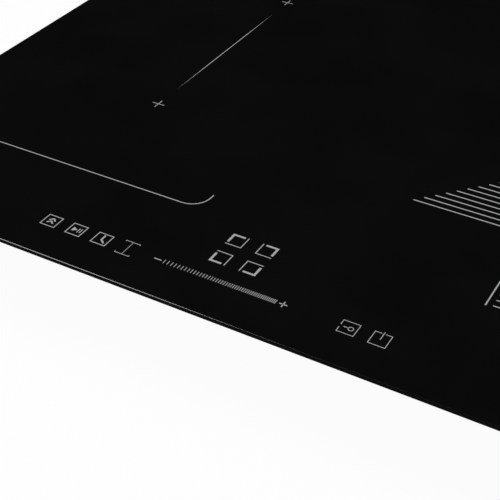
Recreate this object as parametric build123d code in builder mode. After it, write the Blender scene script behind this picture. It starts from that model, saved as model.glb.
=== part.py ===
from build123d import *
from math import cos, pi, sin, sqrt
import os

# A built-in induction cooktop. Millimetres, +Z up, the user's side towards -Y.
# The origin is under the middle of the glass, on the plane of the tray's flat bottom.

# ---- glass plate ----
glass_width = 590.0
glass_depth = 520.0
glass_thick = 4.0
glass_corner = 6.0
arris_top = 0.4
arris_bottom = 0.9

# ---- case: steel frame bonded under the glass, pressed tray hung in it ----
case_drop = 50.0
overhang_side = 19.0
overhang_front = 18.0
overhang_back = 20.0
sheet = 1.0
frame_corner = 6.0
skirt_height = 11.0
flange_width = 14.0
flange_front = 5.0
bond_thick = 0.6
bond_inset = 1.0
seal_inset = 4.0
seal_width = 10.0
seal_thick = 3.0
loose_fit = 0.3
running_fit = 0.05

# ---- tray: shallow under the touch controls, deep behind a sloped, louvred wall ----
step_drop = 15.0
step_length = 60.0
slope_run = 14.0
tray_corner = 5.0
louvre_count = 22
louvre_pitch = 20.0
louvre_width = 7.0
louvre_length = 22.0
slot_pitch = 7.0
slot_width = 4.0
bead_length = 78.0
long_bead_length = 250.0
long_bead_side = 69.7
bead_width = 12.0
bead_height = 2.0
rear_slot_count = 12
rear_slot_pitch = 14.0
rear_slot_width = 4.0
rear_slot_height = 16.0
rear_slot_side = 134.7

# ---- cooking zones: carriers fill the space between these margins ----
zone_margin_centre = 53.0
zone_margin_side = 37.7
zone_margin_front = 14.9
zone_margin_back = 22.8
zone_gap = 13.7
coil_corner = 46.0
coil_bore = 21.0
winding_thick = 4.2
winding_turns = 3
groove_width = 2.0
groove_depth = 1.4
carrier_rim = 3.0
carrier_web = 2.0
ferrite_inner = 32.0
ferrite_margin = 12.0
ferrite_width = 14.0
ferrite_thick = 5.0
ferrite_count = 8
mica_thick = 0.5
coil_plate_thick = 1.2
coil_plate_lip = 5.0
coil_plate_centre = 14.0
coil_plate_side = 22.7
coil_plate_front = 5.7
coil_plate_back = 9.7
sensor_radius = 7.0
sensor_neck = 2.0
pillar_radius = 4.0
pillar_inset = 12.0

# ---- power electronics, the same on both sides ----
board_thick = 1.6
board_lift = 6.0
board_post_radius = 3.0
board_post_inset = 6.0
power_board_centre = 35.0
power_board_side = 49.7
power_board_front = 18.7
power_board_depth = 156.0
sink_offset = 26.0
sink_width = 62.0
sink_length = 132.0
sink_height = 20.0
sink_base = 4.0
fin_count = 9
fin_thick = 1.6
switch_width = 16.0
switch_thick = 5.0
switch_height = 20.0
switch_pitch = 28.0
capacitor_width = 38.0
capacitor_depth = 26.0
capacitor_height = 22.0
capacitor_pitch = 44.0
capacitor_inset = 45.0
blower_x = 110.0
outlet_gap = 2.0
outlet_length = 60.0
scroll_start = 38.0
scroll_growth = 12.0
scroll_height = 28.0
scroll_wall = 1.5
impeller_radius = 34.0
impeller_inner = 26.0
impeller_height = 20.0
blade_count = 20
blade_thick = 1.0
inlet_radius = 28.0
blade_sweep = 1.9
motor_radius = 9.5
motor_drop = 11.5
shaft_drop = 4.0
cup_wall = 1.2
cup_gap = 1.0
shaft_radius = 1.5
hub_radius = 4.0

# ---- mains side ----
filter_board_width = 90.0
filter_board_depth = 70.0
filter_board_back = 66.7
choke_radius = 16.0
choke_bore = 7.0
choke_height = 14.0
choke_bevel = 3.0
choke_offset = 18.0
relay_length = 28.0
relay_width = 20.0
film_capacitor_length = 30.0
film_capacitor_width = 14.0
tall_part_height = 18.0
tall_part_offset = 22.0
tall_part_pitch = 30.0
terminal_side = 124.7
terminal_width = 104.0
terminal_depth = 30.0
terminal_height = 30.0
terminal_wall = 2.0
pole_count = 5
pole_pitch = 9.0
block_depth = 15.0
block_height = 16.0
pole_screw_radius = 2.6
pole_screw_depth = 6.0
wire_mouth = 5.0
wire_mouth_depth = 8.0
window_width = 62.0
window_height = 22.0
window_sill = 6.0
cover_thick = 2.0
cover_lap = 3.0
pull_lip_length = 24.0
pull_lip_width = 5.0
pull_lip_thick = 1.6
hinge_radius = 2.5
hinge_pin = 1.4
lug_inset = 4.0
lug_length = 10.0
lug_thick = 3.0
cable_radius = 6.0
grommet_length = 9.0
grommet_proud = 4.0
grommet_flange = 11.0
grommet_neck = 8.0

# ---- controls under the front of the glass ----
control_x = -9.5
control_width = 290.0
control_wall = 1.5
control_board_lift = 3.0
control_slope_gap = 2.0
key_row_inset = 29.6
key_places = (-121.8, -102.7, -83.4, -64.4, -42.5, 42.8, 84.1, 103.0)
touch_pad_radius = 4.0
zone_mark_x = 10.5
zone_mark_rise = (20.0, 39.7)
display_side = 12.0
slider_span = (-37.7, 38.1)
slider_bar_width = 5.0

# ---- worktop clamps, folded in pockets of the tray's sides ----
pocket_depth = 26.0
pocket_length = 48.0
pocket_roof = 30.0
pocket_front = 29.7
pocket_back = 58.7
clamp_inset = 13.0
clamp_offset = 14.0
clamp_screw_radius = 2.5
clamp_head_radius = 4.8
clamp_head_height = 3.0
weld_nut_radius = 5.0
weld_nut_height = 4.0
bush_radius = 4.0
bush_flange_radius = 6.5
hook_thick = 2.5
hook_width = 12.0
hook_hub = 8.0
hook_reach = 31.0
hook_rise = 2.5

# ---- case screws ----
case_screw_radius = 1.5
case_screw_head = 3.2
case_screw_length = 5.0
case_screw_height = 1.6
case_screw_inset = 37.0
case_screw_corner = 76.0

# ---- levels and outlines worked out from the sizes above ----
glass_bottom = case_drop
glass_top = glass_bottom + glass_thick
flange_top = glass_bottom - bond_thick
flange_bottom = flange_top - sheet
skirt_bottom = flange_top - skirt_height
frame_half = glass_width / 2 - overhang_side
frame_front = -glass_depth / 2 + overhang_front
frame_back = glass_depth / 2 - overhang_back
tray_half = frame_half - sheet - loose_fit
tray_front = frame_front + sheet + loose_fit
tray_back = frame_back - sheet - loose_fit
terminal_x = tray_half - terminal_side
step_z = glass_bottom - step_drop
slope_top_y = tray_front + step_length
slope_foot_y = slope_top_y + slope_run
floor = sheet
winding_top = glass_bottom - loose_fit - mica_thick
carrier_top = winding_top - winding_thick
carrier_bottom = carrier_top - carrier_web - ferrite_thick
plate_bottom = carrier_bottom - coil_plate_thick
carrier_width = tray_half - zone_margin_side - zone_margin_centre
zones_front = slope_top_y + zone_margin_front
zones_back = tray_back - zone_margin_back
carrier_depth = (zones_back - zones_front - zone_gap) / 2
coil_width = carrier_width - 2 * carrier_rim
coil_depth = carrier_depth - 2 * carrier_rim
zone_x = zone_margin_centre + carrier_width / 2
zone_rows = (zones_front + carrier_depth / 2, zones_back - carrier_depth / 2)
ferrite_outer = min(carrier_width, carrier_depth) / 2 - ferrite_margin
ferrite_length = ferrite_outer - ferrite_inner
ferrite_mid = (ferrite_outer + ferrite_inner) / 2
board_bottom = floor + board_lift
board_top = board_bottom + board_thick
power_board_width = tray_half - power_board_side - power_board_centre
power_board_x = power_board_centre + power_board_width / 2
power_board_y = slope_foot_y + power_board_front + power_board_depth / 2
filter_board_y = tray_back - filter_board_back
sink_x = power_board_centre + sink_offset + sink_width / 2
capacitor_x = power_board_centre + power_board_width - capacitor_inset
outlet_y = power_board_y + power_board_depth / 2 + outlet_gap
blower_y = outlet_y + outlet_length
key_row_y = -glass_depth / 2 + key_row_inset
pocket_rows = (slope_foot_y + pocket_front, tray_back - pocket_back)
clamp_x = tray_half - clamp_inset
bush_bottom = clamp_head_height + 2 * sheet
hook_bottom = bush_bottom + sheet
hook_top = hook_bottom + hook_thick
sides = {"left": -1, "right": 1}
rows = {"front": 0, "rear": 1}

os.makedirs("parts", exist_ok=True)


def write(builder, label):
    """Labels a finished piece and writes it to its own STEP file."""
    builder.part.label = label
    export_step(builder.part, f"parts/{label}.step")


def ring_plan(x_half, front, back, corner, mode=Mode.ADD):
    """A rounded rectangle from -x_half to x_half and from front to back."""
    with Locations((0, (front + back) / 2)):
        RectangleRounded(2 * x_half, back - front, corner, mode=mode)


# ======== glass, seal and frame ========

with BuildPart() as glass_top_plate:
    with BuildSketch(Plane.XY.offset(glass_bottom)):
        RectangleRounded(glass_width, glass_depth, glass_corner)
    extrude(amount=glass_thick)
    chamfer(glass_top_plate.faces().sort_by(Axis.Z)[-1].edges(), arris_top)
    chamfer(glass_top_plate.faces().sort_by(Axis.Z)[0].edges(), arris_bottom)
write(glass_top_plate, "glass_top")

seal_half = glass_width / 2 - seal_inset
seal_reach = glass_depth / 2 - seal_inset
with BuildPart() as rim_seal:
    with BuildSketch(Plane.XY.offset(glass_bottom - seal_thick)):
        ring_plan(seal_half, -seal_reach, seal_reach, max(glass_corner - seal_inset, sheet))
        ring_plan(
            seal_half - seal_width,
            seal_width - seal_reach,
            seal_reach - seal_width,
            sheet,
            Mode.SUBTRACT,
        )
    extrude(amount=seal_thick)
write(rim_seal, "rim_seal")

frame_opening = (frame_half - flange_width, frame_front + flange_front, frame_back - flange_width)
with BuildPart() as glass_bond:
    with BuildSketch(Plane.XY.offset(flange_top)):
        ring_plan(
            frame_half - bond_inset,
            frame_front + bond_inset,
            frame_back - bond_inset,
            frame_corner - bond_inset,
        )
        ring_plan(
            frame_opening[0] + bond_inset,
            frame_opening[1] - bond_inset,
            frame_opening[2] + bond_inset,
            sheet,
            Mode.SUBTRACT,
        )
    extrude(amount=bond_thick)
write(glass_bond, "glass_bond")

# Eight screws hold the tray in the frame's skirt, two on each side.
case_screw_z = (skirt_bottom + flange_bottom) / 2
case_screw_rows = (frame_front + case_screw_inset, frame_back - case_screw_inset)
case_screw_columns = (case_screw_corner - frame_half, frame_half - case_screw_corner)
screw_planes = [
    Plane(origin=(side * frame_half, y, case_screw_z), x_dir=(0, 1, 0), z_dir=(side, 0, 0))
    for side in sides.values()
    for y in case_screw_rows
]
screw_planes += [
    Plane(origin=(x, y, case_screw_z), x_dir=(1, 0, 0), z_dir=(0, facing, 0))
    for x in case_screw_columns
    for y, facing in ((frame_front, -1), (frame_back, 1))
]


with BuildPart() as rim_frame:
    with BuildSketch(Plane.XY.offset(skirt_bottom)):
        ring_plan(frame_half, frame_front, frame_back, frame_corner)
    extrude(amount=skirt_height)
    with BuildSketch(Plane.XY.offset(skirt_bottom)):
        ring_plan(frame_half - sheet, frame_front + sheet, frame_back - sheet, frame_corner - sheet)
    extrude(amount=skirt_height - sheet, mode=Mode.SUBTRACT)
    with BuildSketch(Plane.XY.offset(flange_bottom)):
        ring_plan(*frame_opening, sheet)
    extrude(amount=sheet, mode=Mode.SUBTRACT)
    for plane in screw_planes:
        with BuildSketch(plane.offset(sheet)):
            Circle(case_screw_radius + loose_fit)
        extrude(amount=-3 * sheet, mode=Mode.SUBTRACT)
write(rim_frame, "rim_frame")

with BuildPart() as case_screws:
    for plane in screw_planes:
        with BuildSketch(plane):
            RegularPolygon(case_screw_head, 6)
        extrude(amount=case_screw_height)
        with BuildSketch(plane):
            Circle(case_screw_radius)
        extrude(amount=-case_screw_length)
write(case_screws, "case_screws")

# ======== base tray ========

pocket_places = [(side * tray_half, y) for side in sides.values() for y in pocket_rows]
clamp_places = [(side * clamp_x, y + clamp_offset) for side in sides.values() for y in pocket_rows]
terminal_back = tray_back - sheet
window_x = terminal_x - terminal_width / 2 + terminal_wall + loose_fit + window_width / 2
window_z = floor + terminal_wall + window_sill + window_height / 2
cable_x = terminal_x + terminal_width / 2 - terminal_wall - grommet_flange - sheet
cable_z = floor + terminal_height / 2
bead_places = [(side * (blower_x + 2 * bead_width), filter_board_y) for side in (-1, 1)]
long_bead_places = [(column * (tray_half - long_bead_side), 0) for column in (-1, 0, 1)]
rear_slot_z = (floor + skirt_bottom) / 2
slope_plane = Plane(
    origin=(0, (slope_top_y + slope_foot_y) / 2, step_z / 2),
    x_dir=(1, 0, 0),
    z_dir=(0, -step_z, -slope_run),
)

with BuildPart() as base_tray:
    with BuildSketch(Plane.YZ):
        with BuildLine():
            Polyline(
                (tray_front, flange_bottom),
                (tray_front, step_z),
                (slope_top_y, step_z),
                (slope_foot_y, 0),
                (tray_back, 0),
                (tray_back, flange_bottom),
                close=True,
            )
        make_face()
    extrude(amount=tray_half, both=True)
    fillet(base_tray.edges().filter_by(Axis.Z), tray_corner)
    with BuildSketch(Plane.XY):
        with Locations(*pocket_places):
            Rectangle(2 * pocket_depth, pocket_length)
    extrude(amount=pocket_roof, mode=Mode.SUBTRACT)
    offset(amount=-sheet, openings=base_tray.faces().sort_by(Axis.Z)[-1])
    # weld nuts for the clamp screws on the pocket roofs
    with BuildSketch(Plane.XY.offset(pocket_roof + sheet)):
        with Locations(*clamp_places):
            RegularPolygon(weld_nut_radius, 6)
    extrude(amount=weld_nut_height)
    with BuildSketch(Plane.XY.offset(pocket_roof)):
        with Locations(*clamp_places):
            Circle(clamp_screw_radius + running_fit)
    extrude(amount=sheet + weld_nut_height, mode=Mode.SUBTRACT)
    # stiffening beads pressed up into the floor: three from front to back, two across behind
    for shrink, height, mode in ((0, sheet + bead_height, Mode.ADD), (2 * sheet, bead_height, Mode.SUBTRACT)):
        with BuildSketch(Plane.XY):
            with Locations(*bead_places):
                SlotOverall(bead_length - shrink, bead_width - shrink)
            with Locations(*long_bead_places):
                SlotOverall(long_bead_length - shrink, bead_width - shrink, rotation=90)
        extrude(amount=height, mode=mode)
    # air in: slots clipped to a circle under each blower
    for side in sides.values():
        for i in range(-3, 4):
            chord = 2 * sqrt(inlet_radius**2 - (i * slot_pitch) ** 2)
            with BuildSketch(Plane.XY):
                with Locations((side * blower_x, blower_y + i * slot_pitch)):
                    Rectangle(chord, slot_width)
            extrude(amount=sheet, mode=Mode.SUBTRACT)
    # air out: a row of upright louvre slots through the sloped wall
    with BuildSketch(slope_plane.offset(sheet)):
        with GridLocations(louvre_pitch, 0, louvre_count, 1):
            Rectangle(louvre_width, louvre_length)
    extrude(amount=-3 * sheet, mode=Mode.SUBTRACT)
    # terminal window, cable hole and a row of air slots in the back wall
    with BuildSketch(Plane.XZ.offset(-tray_back - sheet)):
        with Locations((rear_slot_side - tray_half, rear_slot_z)):
            with GridLocations(rear_slot_pitch, 0, rear_slot_count, 1):
                Rectangle(rear_slot_width, rear_slot_height)
        with Locations((window_x, window_z)):
            RectangleRounded(window_width, window_height, 2)
        with Locations((cable_x, cable_z)):
            Circle(grommet_neck + loose_fit)
    extrude(amount=3 * sheet, mode=Mode.SUBTRACT)
    for plane in screw_planes:
        with BuildSketch(plane):
            Circle(case_screw_radius + running_fit)
        extrude(amount=-4 * sheet, mode=Mode.SUBTRACT)
write(base_tray, "base_tray")

# ======== cooking zones ========

plate_front = slope_top_y + coil_plate_front
plate_back = tray_back - coil_plate_back
plate_inner = coil_plate_centre
plate_outer = tray_half - coil_plate_side
pillar_columns = (plate_inner + pillar_inset, plate_outer - 2 * pillar_radius - loose_fit)
pillar_rows = (slope_foot_y + 2 * pillar_inset, (plate_front + plate_back) / 2, plate_back - pillar_inset)
with BuildPart() as support_pillars:
    with BuildSketch(Plane.XY.offset(floor)):
        with Locations(*[(side * x, y) for side in sides.values() for x in pillar_columns for y in pillar_rows]):
            RegularPolygon(pillar_radius, 6)
    extrude(amount=plate_bottom - floor)
write(support_pillars, "support_pillars")

for side_name, side in sides.items():
    plate_mid = (side * (plate_inner + plate_outer) / 2, (plate_front + plate_back) / 2)
    plate_width = plate_outer - plate_inner
    plate_depth = plate_back - plate_front
    with BuildPart() as coil_plate:
        with BuildSketch(Plane.XY.offset(plate_bottom)):
            with Locations(plate_mid):
                RectangleRounded(plate_width, plate_depth, 8)
            # the leads of each coil pass down through slots beside its corners
            with Locations(*[(side * zone_x, y) for y in zone_rows]):
                with GridLocations(coil_width - coil_corner, coil_depth, 2, 2):
                    Rectangle(14, 6, mode=Mode.SUBTRACT)
        extrude(amount=coil_plate_thick)
        # lips folded down along the two long edges
        with BuildSketch(Plane.XY.offset(plate_bottom)):
            with Locations(plate_mid):
                with GridLocations(plate_width - coil_plate_thick, 0, 2, 1):
                    Rectangle(coil_plate_thick, plate_depth - 60)
        extrude(amount=-coil_plate_lip)
    write(coil_plate, f"coil_plate_{side_name}")

    with BuildPart() as mica_sheet:
        with BuildSketch(Plane.XY.offset(winding_top)):
            with Locations((side * zone_x, (zones_front + zones_back) / 2)):
                RectangleRounded(carrier_width, zones_back - zones_front, 12)
            with Locations(*[(side * zone_x, y) for y in zone_rows]):
                Circle(coil_bore / 2, mode=Mode.SUBTRACT)
        extrude(amount=mica_thick)
    write(mica_sheet, f"mica_sheet_{side_name}")

    for row_name, row in rows.items():
        zone = (side * zone_x, zone_rows[row])
        place = f"{row_name}_{side_name}"

        with BuildPart() as coil_carrier:
            with BuildSketch(Plane.XY.offset(carrier_bottom)):
                with Locations(zone):
                    RectangleRounded(carrier_width, carrier_depth, coil_corner + carrier_rim)
            extrude(amount=carrier_top + winding_thick / 2 - carrier_bottom)
            # the tray in which the winding lies
            with BuildSketch(Plane.XY.offset(carrier_top)):
                with Locations(zone):
                    RectangleRounded(
                        coil_width + 2 * loose_fit, coil_depth + 2 * loose_fit, coil_corner + loose_fit
                    )
            extrude(amount=winding_thick / 2, mode=Mode.SUBTRACT)
            # ferrite pockets open downwards, with lightening pockets between them
            with BuildSketch(Plane.XY.offset(carrier_bottom)):
                with Locations(zone):
                    with PolarLocations(ferrite_mid, ferrite_count):
                        Rectangle(ferrite_length + 2 * loose_fit, ferrite_width + 2 * loose_fit)
                    with PolarLocations(ferrite_outer - ferrite_width, ferrite_count, 180 / ferrite_count):
                        Rectangle(ferrite_width, ferrite_width)
            extrude(amount=ferrite_thick, mode=Mode.SUBTRACT)
            with BuildSketch(Plane.XY.offset(carrier_bottom)):
                with Locations(zone):
                    Circle(coil_bore / 2)
            extrude(amount=carrier_top - carrier_bottom, mode=Mode.SUBTRACT)
        write(coil_carrier, f"coil_carrier_{place}")

        with BuildPart() as coil_winding:
            with BuildSketch(Plane.XY.offset(carrier_top)):
                with Locations(zone):
                    RectangleRounded(coil_width, coil_depth, coil_corner)
                    Circle(coil_bore, mode=Mode.SUBTRACT)
            extrude(amount=winding_thick)
            # bundles of litz turns stand out between grooves that follow the outline inwards
            for turn in range(1, winding_turns):
                share = turn / winding_turns
                inset_x = share * (coil_width - 2 * coil_bore)
                inset_y = share * (coil_depth - 2 * coil_bore)
                corner_now = coil_corner + (coil_bore - coil_corner) * share
                with BuildSketch(Plane.XY.offset(winding_top)):
                    with Locations(zone):
                        RectangleRounded(coil_width - inset_x, coil_depth - inset_y, corner_now)
                        RectangleRounded(
                            coil_width - inset_x - 2 * groove_width,
                            coil_depth - inset_y - 2 * groove_width,
                            corner_now - groove_width,
                            mode=Mode.SUBTRACT,
                        )
                extrude(amount=-groove_depth, mode=Mode.SUBTRACT)
        write(coil_winding, f"coil_winding_{place}")

        with BuildPart() as ferrite_bars:
            with BuildSketch(Plane.XY.offset(carrier_bottom)):
                with Locations(zone):
                    with PolarLocations(ferrite_mid, ferrite_count):
                        Rectangle(ferrite_length, ferrite_width)
            extrude(amount=ferrite_thick)
        write(ferrite_bars, f"ferrite_bars_{place}")

        # a springy rubber post that presses the sensor's tip up against the glass
        with BuildPart() as zone_sensor:
            with BuildSketch(Plane(origin=(*zone, 0), x_dir=(1, 0, 0), z_dir=(0, -1, 0))):
                with BuildLine():
                    Polyline(
                        (0, carrier_bottom),
                        (sensor_radius, carrier_bottom),
                        (sensor_radius, carrier_bottom + sensor_neck),
                        (sensor_radius - sensor_neck, carrier_bottom + 2 * sensor_neck),
                        (sensor_radius - sensor_neck, glass_bottom - 2 * sensor_neck),
                        (sensor_radius / 2, glass_bottom - loose_fit),
                        (0, glass_bottom - loose_fit),
                        close=True,
                    )
                make_face()
            revolve(axis=Axis((*zone, 0), (0, 0, 1)))
        write(zone_sensor, f"zone_sensor_{place}")

# ======== power electronics ========

post_x = power_board_width / 2 - board_post_inset
post_y = power_board_depth / 2 - board_post_inset
with BuildPart() as board_supports:
    with BuildSketch(Plane.XY.offset(floor)):
        with Locations(*[(side * power_board_x, power_board_y) for side in sides.values()]):
            with GridLocations(2 * post_x, 2 * post_y, 2, 2):
                RegularPolygon(board_post_radius, 6)
        with Locations((0, filter_board_y)):
            with GridLocations(
                filter_board_width - 2 * board_post_inset, filter_board_depth - 2 * board_post_inset, 2, 2
            ):
                RegularPolygon(board_post_radius, 6)
    extrude(amount=board_lift)
write(board_supports, "board_supports")

for side_name, side in sides.items():
    with BuildPart() as power_board:
        with BuildSketch(Plane.XY.offset(board_bottom)):
            with Locations((side * power_board_x, power_board_y)):
                RectangleRounded(power_board_width, power_board_depth, 3)
        extrude(amount=board_thick)
    write(power_board, f"power_board_{side_name}")

    # a comb of fins along the air's way
    fin_pitch = (sink_width - fin_thick) / (fin_count - 1)
    with BuildPart() as heat_sink:
        with BuildSketch(Plane.XZ.offset(sink_length / 2 - power_board_y)):
            with Locations((side * sink_x, board_top + sink_base / 2)):
                Rectangle(sink_width, sink_base)
            with Locations((side * sink_x, board_top + sink_height / 2)):
                with GridLocations(fin_pitch, 0, fin_count, 1):
                    Rectangle(fin_thick, sink_height)
        extrude(amount=-sink_length)
    write(heat_sink, f"heat_sink_{side_name}")

    # four power transistors stand in a row against the outermost fin
    switch_x = side * (sink_x + sink_width / 2 + switch_thick / 2)
    with BuildPart() as power_switches:
        with BuildSketch(Plane.XY.offset(board_top)):
            with Locations((switch_x, power_board_y)):
                with GridLocations(0, switch_pitch, 1, 4):
                    Rectangle(switch_thick, switch_width)
        extrude(amount=switch_height)
        chamfer(power_switches.faces().sort_by(Axis.Z)[-4:].edges(), 0.6)
    write(power_switches, f"power_switches_{side_name}")

    with BuildPart() as capacitors:
        with BuildSketch(Plane.XY.offset(board_top)):
            with Locations((side * capacitor_x, power_board_y)):
                with GridLocations(0, capacitor_pitch, 1, 3):
                    Rectangle(capacitor_width, capacitor_depth)
        extrude(amount=capacitor_height)
        chamfer(capacitors.faces().sort_by(Axis.Z)[-3:].edges(), 1.0)
    write(capacitors, f"power_capacitors_{side_name}")

    # one blade's plan, about the point that the pattern turns round the axis
    with BuildSketch(mode=Mode.PRIVATE) as blade_sketch:
        with BuildLine():
            half_span = (impeller_radius - impeller_inner) / 2
            belly = -blade_sweep / 5
            inner_low = (-half_span, -blade_sweep * side)
            inner_high = (-half_span, (blade_thick - blade_sweep) * side)
            outer_low = (half_span - blade_thick, blade_sweep * side)
            outer_high = (half_span - blade_thick, (blade_sweep + blade_thick) * side)
            ThreePointArc(inner_low, (0, belly * side), outer_low)
            Line(outer_low, outer_high)
            ThreePointArc(outer_high, (0, (blade_thick + belly) * side), inner_high)
            Line(inner_high, inner_low)
        make_face()
    blade_plan = blade_sketch.sketch

    # radial blower: the scroll widens by scroll_growth over three quarters of a turn
    blower = (side * blower_x, blower_y)
    steps = 9

    def spiral(step, inset=0.0):
        """A point of the scroll's outline, from the tongue round to the outlet."""
        turn = step / steps
        radius = scroll_start + scroll_growth * turn - inset
        angle = 1.5 * pi * turn - pi / 4
        return (blower[0] + side * radius * cos(angle), blower[1] + radius * sin(angle))

    shell_floor = floor + scroll_wall
    shell_roof = floor + scroll_height - scroll_wall
    stator_bottom = floor + motor_drop
    shaft_end = floor + shaft_drop
    with BuildPart() as fan_housing:
        # the outer form, then the hollow, which runs out through the mouth
        for inset, level, height, mode in (
            (0.0, floor, scroll_height, Mode.ADD),
            (scroll_wall, shell_floor, shell_roof - shell_floor, Mode.SUBTRACT),
        ):
            with BuildSketch(Plane.XY.offset(level)):
                with BuildLine():
                    outline = Spline(*[spiral(step, inset) for step in range(steps + 1)])
                    mouth_start = (outline.position_at(1).X, outlet_y)
                    mouth_end = (outline.position_at(0).X, outlet_y)
                    Line(outline.position_at(1), mouth_start)
                    Line(mouth_start, mouth_end)
                    Line(mouth_end, outline.position_at(0))
                make_face()
            extrude(amount=height, mode=mode)
        with BuildSketch(Plane.XY.offset(floor)):
            with Locations(blower):
                Circle(inlet_radius)
        extrude(amount=scroll_wall, mode=Mode.SUBTRACT)
        # stator and fixed shaft hang from the roof
        with BuildSketch(Plane.XY.offset(stator_bottom)):
            with Locations(blower):
                Circle(motor_radius)
        extrude(amount=shell_roof - stator_bottom)
        with BuildSketch(Plane.XY.offset(shaft_end)):
            with Locations(blower):
                Circle(shaft_radius)
        extrude(amount=stator_bottom - shaft_end)
    write(fan_housing, f"fan_housing_{side_name}")

    # impeller: a cup around the stator, a disc at its brim, and blades hung from the disc
    cup_inner = motor_radius + cup_gap
    cup_outer = cup_inner + cup_wall
    disc_bottom = shell_roof - cup_wall - cup_gap - loose_fit
    cup_floor = shaft_end + cup_gap
    blades_bottom = disc_bottom - impeller_height
    blade_mid = (impeller_radius + impeller_inner) / 2
    with BuildPart() as fan_rotor:
        with BuildSketch(Plane.XY.offset(disc_bottom)):
            with Locations(blower):
                Circle(impeller_radius)
                Circle(cup_inner, mode=Mode.SUBTRACT)
        extrude(amount=cup_wall)
        with BuildSketch(Plane.XY.offset(cup_floor)):
            with Locations(blower):
                Circle(cup_outer)
        extrude(amount=disc_bottom - cup_floor)
        with BuildSketch(Plane.XY.offset(cup_floor + cup_wall)):
            with Locations(blower):
                Circle(cup_inner)
        extrude(amount=disc_bottom - cup_floor, mode=Mode.SUBTRACT)
        # the hub runs on the fixed shaft, just below the stator
        with BuildSketch(Plane.XY.offset(cup_floor)):
            with Locations(blower):
                Circle(hub_radius)
        extrude(amount=stator_bottom - loose_fit - cup_floor)
        with BuildSketch(Plane.XY.offset(cup_floor)):
            with Locations(blower):
                Circle(shaft_radius + running_fit)
        extrude(amount=stator_bottom - cup_floor, mode=Mode.SUBTRACT)
        # forward-curved blades, tied together by a ring at their lower ends
        with BuildSketch(Plane.XY.offset(blades_bottom)):
            with Locations(blower):
                with PolarLocations(blade_mid, blade_count):
                    add(blade_plan)
        extrude(amount=impeller_height)
        with BuildSketch(Plane.XY.offset(blades_bottom)):
            with Locations(blower):
                Circle(impeller_radius)
                Circle((impeller_radius + blade_mid) / 2, mode=Mode.SUBTRACT)
        extrude(amount=cup_wall)
    write(fan_rotor, f"fan_rotor_{side_name}")

# ======== mains side ========

with BuildPart() as filter_board:
    with BuildSketch(Plane.XY.offset(board_bottom)):
        with Locations((0, filter_board_y)):
            RectangleRounded(filter_board_width, filter_board_depth, 3)
    extrude(amount=board_thick)
write(filter_board, "filter_board")

with BuildPart() as filter_parts:
    # a common-mode choke lying on the board, a filter capacitor and a relay beside it
    with BuildSketch(Plane.XY.offset(board_top)):
        with Locations((-choke_offset, filter_board_y)):
            Circle(choke_radius)
            Circle(choke_bore, mode=Mode.SUBTRACT)
    extrude(amount=choke_height)
    chamfer(filter_parts.edges().filter_by(GeomType.CIRCLE).group_by(Axis.Z)[-1], choke_bevel)
    with BuildSketch(Plane.XY.offset(board_top)):
        with Locations((tall_part_offset, filter_board_y - tall_part_pitch / 2)):
            Rectangle(film_capacitor_length, film_capacitor_width)
        with Locations((tall_part_offset, filter_board_y + tall_part_pitch / 2)):
            Rectangle(relay_length, relay_width)
    extrude(amount=tall_part_height)
write(filter_parts, "filter_parts")

terminal_front = terminal_back - terminal_depth
hinge_y = tray_back + loose_fit + hinge_radius
hinge_z = window_z - window_height / 2 + hinge_radius + 0.5
lug_half = window_width / 2 - lug_inset
with BuildPart() as terminal_box:
    with BuildSketch(Plane.XY.offset(floor)):
        with Locations((terminal_x, terminal_back - terminal_depth / 2)):
            RectangleRounded(terminal_width, terminal_depth, 2)
    extrude(amount=terminal_height)
    with BuildSketch(Plane.XZ.offset(-terminal_back)):
        with Locations((terminal_x, floor + terminal_height / 2)):
            Rectangle(terminal_width - 2 * terminal_wall, terminal_height - 2 * terminal_wall)
    extrude(amount=terminal_depth - terminal_wall, mode=Mode.SUBTRACT)
    # two lugs reach out through the window and carry the cover's pins
    for end in (-1, 1):
        with BuildSketch(Plane.YZ.offset(window_x + end * lug_half)):
            with BuildLine():
                Polyline(
                    (terminal_back - lug_length, floor),
                    (terminal_back, floor),
                    (terminal_back, hinge_z - hinge_radius),
                    (hinge_y, hinge_z - hinge_radius),
                    (hinge_y, hinge_z + hinge_radius),
                    (terminal_back - lug_length, hinge_z + hinge_radius),
                    close=True,
                )
            make_face()
            with Locations((hinge_y, hinge_z)):
                Circle(hinge_radius)
                Circle(hinge_pin + running_fit, mode=Mode.SUBTRACT)
        extrude(amount=lug_thick / 2, both=True)
write(terminal_box, "terminal_box")

block_y = terminal_front + terminal_wall + block_depth / 2 + loose_fit
with BuildPart() as terminal_block:
    with BuildSketch(Plane.XY.offset(floor + terminal_wall)):
        with Locations((window_x, block_y)):
            Rectangle(pole_count * pole_pitch + 1, block_depth)
    extrude(amount=block_height)
    # each pole has a screw well from above and a wire mouth from the back
    with BuildSketch(Plane.XY.offset(floor + terminal_wall + block_height)):
        with Locations((window_x, block_y)):
            with GridLocations(pole_pitch, 0, pole_count, 1):
                Circle(pole_screw_radius)
    extrude(amount=-pole_screw_depth, mode=Mode.SUBTRACT)
    with BuildSketch(Plane.XZ.offset(-(block_y + block_depth / 2))):
        with Locations((window_x, floor + terminal_wall + wire_mouth)):
            with GridLocations(pole_pitch, 0, pole_count, 1):
                Rectangle(wire_mouth, wire_mouth)
    extrude(amount=wire_mouth_depth, mode=Mode.SUBTRACT)
write(terminal_block, "terminal_block")

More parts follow.
